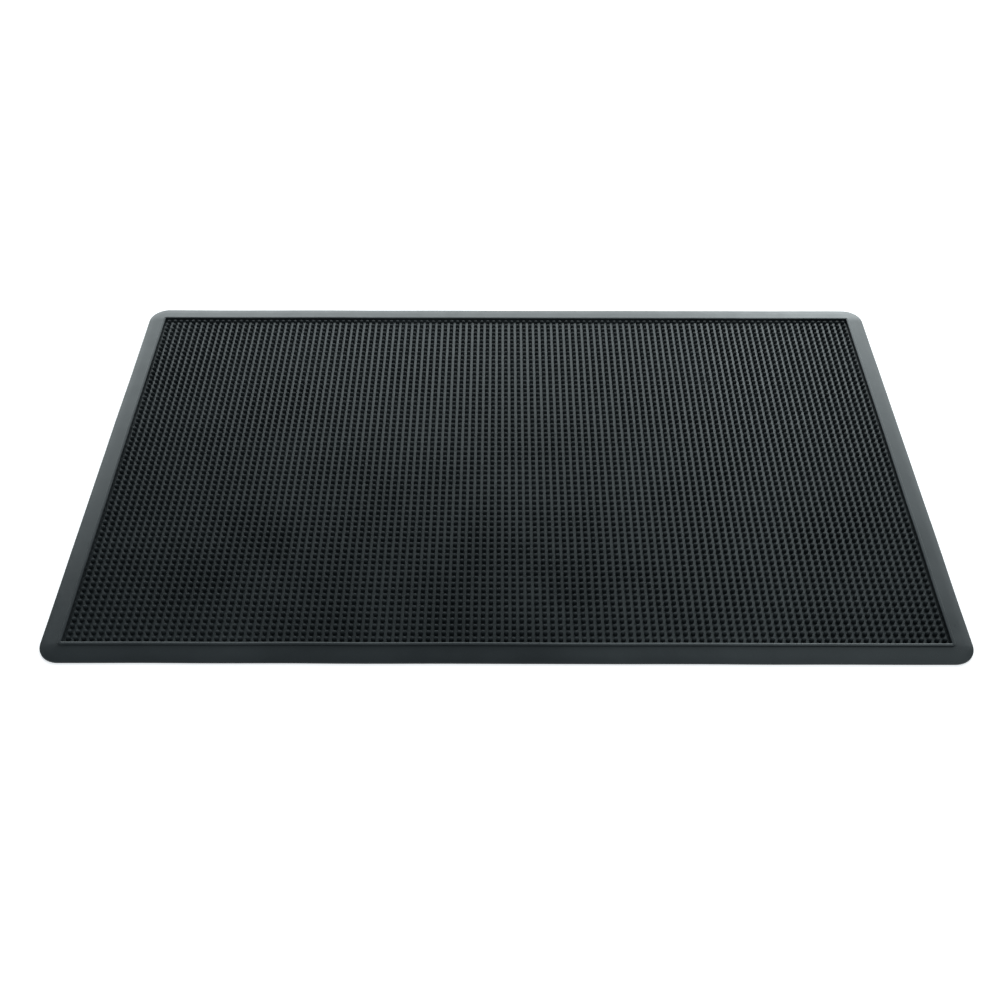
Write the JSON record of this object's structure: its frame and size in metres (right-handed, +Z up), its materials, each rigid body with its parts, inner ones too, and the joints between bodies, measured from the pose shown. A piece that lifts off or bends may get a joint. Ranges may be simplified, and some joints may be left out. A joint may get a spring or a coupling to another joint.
{
  "type": "rubber pin door mat",
  "caption": "Rectangular moulded rubber door mat: a field of short scraper pins on a floor sheet, inside a bevelled border with a low crest, mitred corners and rounded outer corners.",
  "frame": {"origin": "middle of the underside, on the surface that the mat lies on", "axes": "+X along the long side to the right, +Y towards the back edge, +Z up through the pins"},
  "size_m": [1, 0.606, 0.0065],
  "materials": {
    "border_rubber": "smooth moulded black rubber, satin, slight blue-grey bloom",
    "floor_rubber": "smooth moulded black rubber, satin",
    "pin_rubber": "moulded black rubber, matt, with slightly rounded pin tips"
  },
  "bodies": {
    "root": {"border_front": "border_rubber", "border_right": "border_rubber", "border_back": "border_rubber", "border_left": "border_rubber", "floor_sheet": "floor_rubber", "pin_field": "pin_rubber"}
  },
  "joints": []
}
